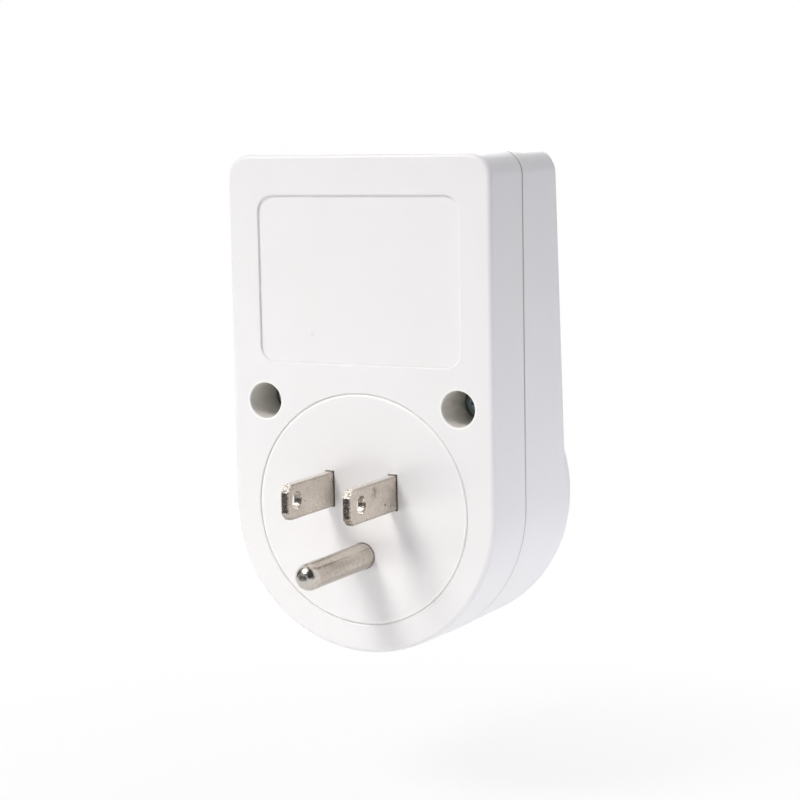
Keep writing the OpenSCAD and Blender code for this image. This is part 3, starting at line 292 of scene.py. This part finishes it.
class Tree:
    """Short calls for building the node tree of a material or world."""

    def __init__(self, owner):
        owner.use_nodes = True
        self.tree = owner.node_tree
        self.tree.nodes.clear()

    def link(self, out, into):
        self.tree.links.new(out, into)

    def put(self, socket, value):
        """Gives an input a value, or links it to an output."""
        if isinstance(value, bpy.types.NodeSocket):
            self.link(value, socket)
        else:
            socket.default_value = value

    def new(self, kind, **settings):
        """Adds a node; each keyword names one of its inputs, with _ for a space, or else a property."""
        node = self.tree.nodes.new("ShaderNode" + kind)
        for key, value in settings.items():
            name = key.replace("_", " ")
            if name in node.inputs:
                self.put(node.inputs[name], value)
            else:
                setattr(node, key, value)
        return node

    def calc(self, operation, a, b=0.0):
        node = self.new("Math", operation=operation)
        self.put(node.inputs[0], a)
        self.put(node.inputs[1], b)
        return node.outputs[0]

    def times(self, a, b):
        return self.calc("MULTIPLY", a, b)

    def apart(self, a, b):
        """How far two numbers are from each other."""
        return self.calc("ABSOLUTE", self.calc("SUBTRACT", a, b))

    def reach(self, a, b):
        """The length of a step that goes a one way and b at right angles to it."""
        return self.calc("SQRT", self.calc("ADD", self.calc("POWER", a, 2), self.calc("POWER", b, 2)))

    def span(self, value, start, end, to_start=0, to_end=1):
        """Takes the range from start to end to another range, and holds a value outside it."""
        ends = {"From_Min": start, "From_Max": end, "To_Min": to_start, "To_Max": to_end}
        return self.new("MapRange", Value=value, **ends).outputs["Result"]

    def place(self):
        """Where a point of the object is, in metres."""
        return self.new("TexCoord").outputs["Object"]

    def blend(self, factor, a, b):
        """Colour a where factor is 0 and b where it is 1; each is a colour or an output."""
        node = self.new("Mix", data_type="RGBA")
        self.link(factor, node.inputs["Factor"])
        for name, value in (("A", a), ("B", b)):
            socket = [s for s in node.inputs if s.name == name and s.type == "RGBA"][0]
            self.put(socket, (*value, 1) if isinstance(value, tuple) else value)
        return [s for s in node.outputs if s.type == "RGBA"][0]

    def mix(self, factor, first, second):
        """The first shader where factor is 0 and the second where it is 1."""
        node = self.new("MixShader", Fac=factor)
        self.link(first.outputs[0], node.inputs[1])
        self.link(second.outputs[0], node.inputs[2])
        return node

    def seen(self):
        """1 for what the camera, a reflection or glass shows, and 0 for light that falls on things."""
        path = self.new("LightPath").outputs
        seen = self.calc("MAXIMUM", path["Is Camera Ray"], path["Is Glossy Ray"])
        return self.calc("MAXIMUM", seen, path["Is Transmission Ray"])

    def show(self, shader, output="OutputMaterial"):
        """Makes a shader the surface of the material or world."""
        self.link(shader.outputs[0], self.new(output).inputs["Surface"])


def make_world():
    """Soft light from all round, and plain white wherever it is seen."""
    world = bpy.data.worlds.new("studio")
    bpy.context.scene.world = world
    t = Tree(world)
    ambient = t.new("Background", Color=(*AMBIENT, 1), Strength=AMBIENT_STRENGTH)
    white = t.new("Background", Color=(*WHITE, 1), Strength=1.0)
    t.show(t.mix(t.seen(), ambient, white), "OutputWorld")


def make_floor(height):
    """A pale floor that shows as white and keeps a soft shadow near the object."""
    mesh = flat_sheet("floor", FLOOR_SIZE, FLOOR_SIZE)
    floor = add_object("floor", mesh, (0, 0, height))
    material = bpy.data.materials.new("floor")
    mesh.materials.append(material)
    t = Tree(material)
    paper = t.new("BsdfDiffuse", Color=(*FLOOR_GREY, 1))
    white = t.new("Emission", Color=(*WHITE, 1), Strength=1.0)
    away = t.new("VectorMath", operation="LENGTH")
    t.link(t.place(), away.inputs[0])
    fade = t.span(away.outputs["Value"], SHADOW_NEAR, SHADOW_FAR, 1 - SHADOW_SHARE, 1)
    t.show(t.mix(t.times(fade, t.seen()), paper, white))


def reflected_only(name, mesh, at, glow):
    """Adds a sheet of the studio that only metal and gloss show; glow(t, place) builds its strength."""
    sheet = add_object(name, mesh, at)
    material = bpy.data.materials.new(name)
    mesh.materials.append(material)
    t = Tree(material)
    place = t.new("SeparateXYZ", Vector=t.place()).outputs
    t.show(t.new("Emission", Strength=glow(t, place)))
    sheet.visible_camera = False
    sheet.visible_diffuse = False
    sheet.visible_shadow = False
    return sheet


def make_card(name, at, aim, width, height, middle, rim):
    """A flat sheet whose glow goes from one strength in the middle to another at its rim."""

    def glow(t, place):
        across = t.calc("DIVIDE", t.calc("ABSOLUTE", place["X"]), width / 2)
        up = t.calc("DIVIDE", t.calc("ABSOLUTE", place["Y"]), height / 2)
        return t.span(t.calc("MAXIMUM", across, up), CARD_MIDDLE, 1, middle, rim)

    card = reflected_only(name, flat_sheet(name, width, height), at, glow)
    point_at(card, aim, "Z")


def make_dark_dome():
    """The unlit side of the room, from beside the camera right over the object, paler at its foot."""
    points = []
    for i in range(DOME_STEPS + 1):
        level = math.radians(DOME_LOW + (DOME_HIGH - DOME_LOW) * i / DOME_STEPS)
        ring = DOME_R * math.cos(level)
        for j in range(DOME_STEPS + 1):
            around = math.radians(DOME_FROM + (DOME_TO - DOME_FROM) * j / DOME_STEPS)
            points.append((ring * math.cos(around), ring * math.sin(around), DOME_R * math.sin(level)))
    row = DOME_STEPS + 1
    faces = []
    for i in range(DOME_STEPS):
        for j in range(DOME_STEPS):
            k = i * row + j
            faces.append((k, k + 1, k + row + 1, k + row))

    def glow(t, place):
        foot = math.sin(math.radians(DOME_LOW)) * DOME_R
        return t.span(place["Z"], foot, foot + DOME_FOOT, DOME_FOOT_GLOW, DOME_GLOW)

    reflected_only("dark_dome", make_mesh("dark_dome", points, faces), MIDDLE, glow)


def shade(colour, share):
    """The colour at this share of its strength."""
    return tuple(share * c for c in colour)


class Finish(Tree):
    """A procedural material: one surface whose colour, roughness and grain vary over the piece."""

    def __init__(self, name, metallic=0.0, coat=0.0):
        self.material = bpy.data.materials.new(name)
        super().__init__(self.material)
        self.surface = self.new("BsdfPrincipled", Metallic=metallic, Coat_Weight=coat)
        self.show(self.surface)
        self.point = self.place()
        self.normal = None

    def along(self, axis):
        """How far along an axis of the model a point lies."""
        return self.new("SeparateXYZ", Vector=self.point).outputs[axis]

    def noise(self, scale, detail=3.0, stretch=None):
        """Noise whose scale is in repeats per metre, pressed together along each axis by stretch."""
        point = self.point
        if stretch:
            point = self.new("Mapping", Vector=point, Scale=stretch).outputs["Vector"]
        return self.new("TexNoise", Vector=point, Scale=scale, Detail=detail).outputs["Fac"]

    def specks(self, scale, share):
        """Small dots in this share of the cells: 1 inside a dot and 0 elsewhere."""
        cell = self.new("TexVoronoi", Vector=self.point, Scale=scale)
        chance = self.new("SeparateColor", Color=cell.outputs["Color"]).outputs["Red"]
        inside = self.calc("LESS_THAN", cell.outputs["Distance"], SPECK_R)
        return self.times(inside, self.calc("LESS_THAN", chance, share))

    def near(self, at, radius):
        """1 at a point, falling to 0 at the radius round it."""
        apart = self.new("VectorMath", operation="DISTANCE")
        self.link(self.point, apart.inputs[0])
        apart.inputs[1].default_value = at
        return self.span(apart.outputs["Value"], MARK_CORE * radius, radius, 1, 0)

    def tint(self, noise, a, b, low=0.35, high=0.65):
        """The ground colour, which goes from a to b as the noise goes from low to high."""
        self.link(self.blend(self.span(noise, low, high), a, b), self.surface.inputs["Base Color"])

    def over(self, factor, colour, share=1.0):
        """Lays a colour over what there is so far, covering this share of it where factor is 1."""
        socket = self.surface.inputs["Base Color"]
        below = socket.links[0].from_socket
        self.link(self.blend(self.times(factor, share), below, colour), socket)

    def rough(self, noise, low, high):
        """Lets the roughness wander from low to high with the noise."""
        self.link(self.span(noise, NOISE_LOW, NOISE_HIGH, low, high), self.surface.inputs["Roughness"])

    def bump(self, height, depth, strength):
        """Adds relief on top of what earlier calls made."""
        node = self.new("Bump", Height=height, Distance=depth, Strength=strength)
        if self.normal:
            self.link(self.normal, node.inputs["Normal"])
        self.normal = node.outputs["Normal"]
        self.link(self.normal, self.surface.inputs["Normal"])
        self.link(self.normal, self.surface.inputs["Coat Normal"])


def from_screw_axis(f):
    """How far a point is from the axis of the nearer screw recess."""
    low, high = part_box("housing_screws")
    across = f.calc("SUBTRACT", f.calc("ABSOLUTE", f.along("X")), high.x - SCREW_HEAD_R)
    up = f.calc("SUBTRACT", f.along("Z"), (low.z + high.z) / 2)
    return f.reach(across, up)


def recess_mask(f, from_axis):
    """1 inside the two screw recesses, on their walls and floors, and 0 elsewhere."""
    near = f.calc("LESS_THAN", from_axis, RECESS_R)
    in_rear_cover = f.calc("GREATER_THAN", f.along("Y"), SEAM_AT)
    deep = f.times(in_rear_cover, f.span(f.along("Y"), RECESS_FROM, RECESS_TO))
    return f.times(near, deep)


def highlight_rim_mask(f, from_axis, radius):
    """1 on a round edge at the wall face, where a highlight is painted, and 0 elsewhere."""
    beside = f.span(f.apart(from_axis, radius), RIM_CORE, RIM_END, 1, 0)
    return f.times(beside, f.span(f.along("Y"), RIM_FROM, RIM_TO))


def moulded_white(name, light, warm):
    """Finely textured white plastic, with dust in the seam, painted shade in the recesses and painted
    highlights on edges.
    """
    f = Finish(name)
    f.tint(f.noise(scale=60, detail=2), light, warm)
    f.over(f.specks(scale=420, share=0.01), SPECK_BROWN, share=0.12)

    dust = f.span(f.apart(f.along("Y"), SEAM_AT), DUST_CORE, DUST_END, 1, 0)
    more_above = f.span(f.along("Z"), DUST_THIN_BELOW, DUST_FULL_ABOVE, DUST_THIN, 1)
    f.over(f.times(dust, more_above), DUST_BROWN, share=0.7)

    from_axis = from_screw_axis(f)
    inside = recess_mask(f, from_axis)
    # Painted shade: the walls of the screw recesses are painted warmer and duller
    f.over(inside, RECESS_SHADE, share=0.7)
    # Painted shade: near black at the foot of the screw recesses
    foot = f.span(f.along("Y"), FOOT_SHADE_FROM, FOOT_SHADE_TO)
    f.over(f.times(inside, foot), FOOT_SHADE, share=0.95)

    # Painted highlight on the rounded edges round the screw recesses and on the plug base
    from_middle = f.reach(f.along("X"), f.along("Z"))
    recess_highlight = f.times(highlight_rim_mask(f, from_axis, RECESS_RIM_R), RECESS_HIGHLIGHT_SHARE)
    base_highlight = f.times(highlight_rim_mask(f, from_middle, BASE_RIM_R), BASE_HIGHLIGHT_SHARE)
    f.over(f.calc("MAXIMUM", recess_highlight, base_highlight), HIGHLIGHT_WHITE)

    f.rough(f.noise(scale=900, detail=4), low=0.36, high=0.5)
    f.bump(f.noise(scale=9000, detail=2), depth=0.012 * MM, strength=0.5)
    f.bump(f.noise(scale=140, detail=2), depth=0.05 * MM, strength=0.4)
    return f


def plated(name, light, dark, rough, crumbs_share, stretch=None):
    """Nickel or zinc plate: its grain, crumbs of dirt, stains and fine pits."""
    f = Finish(name, metallic=1.0)
    grain = f.noise(scale=1400, detail=5, stretch=stretch)
    f.tint(grain, light, dark, high=0.7)
    crumbs = f.noise(scale=2700, detail=4, stretch=(1, 0.6, 1))
    f.over(f.span(crumbs, start=0.5, end=0.64), shade(dark, 0.55), share=crumbs_share)
    f.over(f.span(f.noise(scale=260, detail=6), start=0.58, end=0.72), shade(dark, 0.6), share=0.35)
    f.over(f.specks(scale=2600, share=0.08), shade(dark, 0.45), share=0.4)
    f.rough(f.noise(scale=700, detail=4), *rough)
    f.bump(grain, depth=0.02 * MM, strength=0.6)
    f.bump(crumbs, depth=0.02 * MM, strength=0.5)
    f.bump(f.noise(scale=420), depth=0.02 * MM, strength=0.4)
    return f


def nickel_pin(name):
    """The drawn ground pin: die lines along it, painted shade on its lower side and underneath, and a
    polished end.
    """
    f = plated(name, NICKEL, NICKEL_DARK, rough=(0.14, 0.3), crumbs_share=0.42, stretch=DRAWN)
    low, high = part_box("ground_pin")
    up = f.calc("SUBTRACT", f.along("Z"), (low.z + high.z) / 2)
    turn = f.calc("ARCTAN2", f.times(f.along("X"), -1), up)
    shaft = f.span(f.along("Y"), BALL_FROM, SHAFT_END, 1, 0)
    # Painted shade: past the second die line the shaft is a little darker
    f.over(f.times(shaft, f.span(turn, SIDE_SHADE_FROM, SIDE_SHADE_TO)), NICKEL_DARK, share=0.3)
    for line, half, share in DIE_LINES:
        on_line = f.times(shaft, f.span(f.apart(turn, line), DIE_LINE_CORE * half, half, 1, 0))
        broken = f.span(f.noise(scale=240, detail=2), start=0.4, end=0.6, to_start=0.35)
        f.over(f.times(on_line, broken), DIE_LINE_BROWN, share=share)
    # Painted shade: the pin is darker underneath
    f.over(f.span(f.along("Z"), UNDERSIDE_SHADE_FROM, UNDERSIDE_SHADE_TO), shade(NICKEL_DARK, 0.7), share=0.75)
    f.over(f.span(f.along("Y"), BALL_FROM, BALL_CLEAN), POLISHED, share=0.7)
    return f


def nickel_blade(name, marked=False):
    """A stamped blade: painted highlight on the upper edge, painted dark reflection at the bevels and on
    the rough sheared end.
    """
    f = plated(name, NICKEL, NICKEL_DARK, rough=(0.16, 0.32), crumbs_share=0.16, stretch=DRAWN)
    low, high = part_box(name)
    from_middle = f.apart(f.along("Z"), (low.z + high.z) / 2)
    # Painted dark reflection along the creases where the bevels meet the broad face
    from_bevel = f.apart(from_middle, BLADE_HALF - BLADE_BEVEL)
    f.over(f.span(from_bevel, BEVEL_LINE_CORE, BEVEL_LINE_END, 1, 0), BEVEL_REFLECTION_DARK, share=0.5)
    # Painted highlight on the faces that look up
    facing = f.new("SeparateXYZ", Vector=f.new("TexCoord").outputs["Normal"]).outputs
    f.over(f.span(facing["Z"], start=0.6, end=0.9), UPPER_EDGE_HIGHLIGHT, share=0.7)
    # The sheared end: its grain is real relief, and its dark colour is a painted dark reflection
    end = f.span(facing["Y"], start=0.6, end=0.74)
    grains = f.noise(scale=2300)
    dark_grains = f.span(grains, start=0.42, end=0.6, to_start=0.1, to_end=0.7)
    f.over(f.times(end, dark_grains), SHEARED_END_REFLECTION)
    f.bump(grains, depth=0.12 * MM, strength=end)
    if marked:
        patchy = f.span(f.noise(scale=900, detail=4), start=0.45, end=0.6)
        f.over(f.times(f.near(SMUDGE_AT, SMUDGE_R), patchy), SMUDGE_BROWN, share=0.8)
        f.over(f.near(DOT_AT, DOT_R), DOT_BROWN, share=0.95)
    return f


def plain_plastic(name, colour, rough, coat):
    """Moulded or dipped plastic, a little cloudy, with a few darker specks."""
    f = Finish(name, coat=coat)
    f.tint(f.noise(scale=220), colour, shade(colour, 0.88))
    f.over(f.specks(scale=900, share=0.03), shade(colour, 0.5), share=0.3)
    f.rough(f.noise(scale=1200), low=0.85 * rough, high=1.15 * rough)
    f.bump(f.noise(scale=5000), depth=0.01 * MM, strength=0.5)
    return f


def sheet_metal(name, light, dark, rough_low, rough_high):
    """Rolled sheet whose grain runs along the width, with some stains."""
    f = Finish(name, metallic=1.0)
    f.tint(f.noise(scale=500, detail=5, stretch=(1, 6, 6)), light, dark)
    f.over(f.span(f.noise(scale=180, detail=5), start=0.6, end=0.75), shade(dark, 0.55), share=0.4)
    f.rough(f.noise(scale=800, detail=4), low=rough_low, high=rough_high)
    f.bump(f.noise(scale=2500, detail=4, stretch=(1, 8, 8)), depth=0.01 * MM, strength=0.6)
    return f


def circuit_board(name):
    """Green solder mask over tracks that stand up a little."""
    f = Finish(name, coat=0.4)
    tracks = f.new("TexBrick", Vector=f.point, Scale=260.0, Mortar_Size=0.035).outputs["Fac"]
    f.tint(tracks, BOARD_GREEN, TRACK_GREEN, low=0, high=1)
    f.over(f.span(f.noise(scale=2400), start=0.55, end=0.75), BOARD_SHADE, share=0.25)
    f.rough(f.noise(scale=900), low=0.25, high=0.4)
    f.bump(tracks, depth=0.03 * MM, strength=0.6)
    return f


def wound_wire(name):
    """Enamelled copper wire: fine turns round the coil's axis, which runs along the depth."""
    f = Finish(name, metallic=0.8, coat=0.5)
    bands = f.new("TexWave", Vector=f.point, Scale=950.0, wave_type="BANDS", bands_direction="Y")
    turns = bands.outputs["Fac"]
    f.tint(turns, COPPER_DARK, COPPER, low=0, high=1)
    f.rough(f.noise(scale=900), low=0.25, high=0.4)
    f.bump(turns, depth=0.08 * MM, strength=0.8)
    return f


def tinted_lens(name, colour):
    """A lamp's cast resin body, clouded a little, on two tinned legs."""
    f = Finish(name)
    f.surface.inputs["IOR"].default_value = RESIN_IOR
    f.tint(f.noise(scale=400, detail=2), colour, shade(colour, 0.8), low=NOISE_LOW, high=NOISE_HIGH)
    legs = f.calc("GREATER_THAN", f.along("Y"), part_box(name)[0].y + LAMP_LENGTH)
    f.over(legs, TINNED)
    f.link(legs, f.surface.inputs["Metallic"])
    f.link(f.span(legs, 0, 1, RESIN_CLEAR, 0), f.surface.inputs["Transmission Weight"])
    f.rough(f.noise(scale=1500, detail=2), low=0.08, high=0.2)
    f.bump(f.noise(scale=1800, detail=2), depth=0.01 * MM, strength=0.4)
    return f


def rubber(name, colour):
    """The soft sleeve of a wire."""
    f = Finish(name)
    f.tint(f.noise(scale=500, detail=4), colour, shade(colour, 0.8))
    f.rough(f.noise(scale=1500), low=0.45, high=0.65)
    f.bump(f.noise(scale=3000, detail=4), depth=0.02 * MM, strength=0.6)
    return f


def slot_finishes():
    """A finish for each material slot of the record but the prongs' one."""
    finishes = {
        "housing_white": moulded_white("housing_white", HOUSING_WHITE, HOUSING_WARM),
        "screw_steel": plated("screw_steel", ZINC, ZINC_DARK, rough=(0.4, 0.55), crumbs_share=0.3),
        "board_green": circuit_board("board_green"),
        "coil_copper": wound_wire("coil_copper"),
    }
    for slot, (colour, rough, coat) in PLASTICS.items():
        finishes[slot] = plain_plastic(slot, colour, rough, coat)
    for slot, (light, dark, rough_low, rough_high) in METALS.items():
        finishes[slot] = sheet_metal(slot, light, dark, rough_low, rough_high)
    for slot, colour in SLEEVES.items():
        finishes[slot] = rubber(slot, colour)
    for slot, (node, colour) in LAMPS.items():
        finishes[slot] = tinted_lens(node, colour)
    return finishes


def dress_nodes():
    """Gives each prong its own nickel finish, and every other CAD node the finish of its slot."""
    slots = slot_finishes()
    prongs = {
        "line_blade": nickel_blade("line_blade"),
        "neutral_blade": nickel_blade("neutral_blade", marked=True),
        "ground_pin": nickel_pin("ground_pin"),
    }
    for part in frame["record"]["subparts"]:
        name = part["node"]
        finish = prongs[name] if name in prongs else slots[part["material_slot"]]
        nodes[name].data.materials[0] = finish.material


def make_weld_line():
    """The flash of the weld between the plug base and the rear cover, low in their groove."""
    points = []
    for i in range(GROOVE_STEPS):
        turn = 2 * math.pi * i / GROOVE_STEPS
        for r in (GROOVE_INNER, GROOVE_OUTER):
            points.append((r * math.cos(turn), -GROOVE_DEPTH, r * math.sin(turn)))
    count = len(points)
    faces = []
    for i in range(0, count, 2):
        faces.append((i, i + 1, (i + 3) % count, (i + 2) % count))
    mesh = make_mesh("weld_line", points, faces)
    mesh.materials.append(moulded_white("weld_line", FLASH_LIGHT, FLASH_DARK).material)
    ring = add_object("weld_line", mesh)
    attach(ring, "housing")


dress_nodes()
make_weld_line()
make_camera()
make_world()
make_floor(cad_box[0].z - FLOOR_DROP)

# The lamps: where each stands and what it faces, in metres
area_light("key", at=(0.28, 0.62, 0.76), aim=MIDDLE, width=0.33, height=0.33, watts=6.05, colour=WARM)
area_light("top_light", at=(-0.1, -0.25, 0.9), aim=MIDDLE, width=0.5, height=0.5, watts=0.7)
area_light("side_fill", at=(-0.14, -0.02, -0.045), aim=(-0.026, -0.015, 0.01), width=0.06, height=0.02,
           watts=0.046, colour=COOL, in_gloss=False)
area_light("front_light", at=(0.25, -0.75, 0.2), aim=MIDDLE, width=0.3, height=0.3, watts=2.4)
area_light("low_fill", at=(0.08, 0.18, -0.03), aim=(0.01, 0, -0.01), width=0.24, height=0.04,
           watts=0.09, colour=WARM, in_gloss=False)

# What the metal reflects: the dark room, the key's wide glow, and a low card for the prongs' ends
make_dark_dome()
make_card("key_glow", at=(0.38, 0.42, 0.88), aim=MIDDLE, width=1.0, height=1.0, middle=1.5, rim=0.2)
make_card("tip_card", at=(0.055, 0.115, -0.01), aim=MIDDLE, width=0.22, height=0.11, middle=0.1, rim=0.9)

bpy.context.scene.view_settings.view_transform = "Standard"
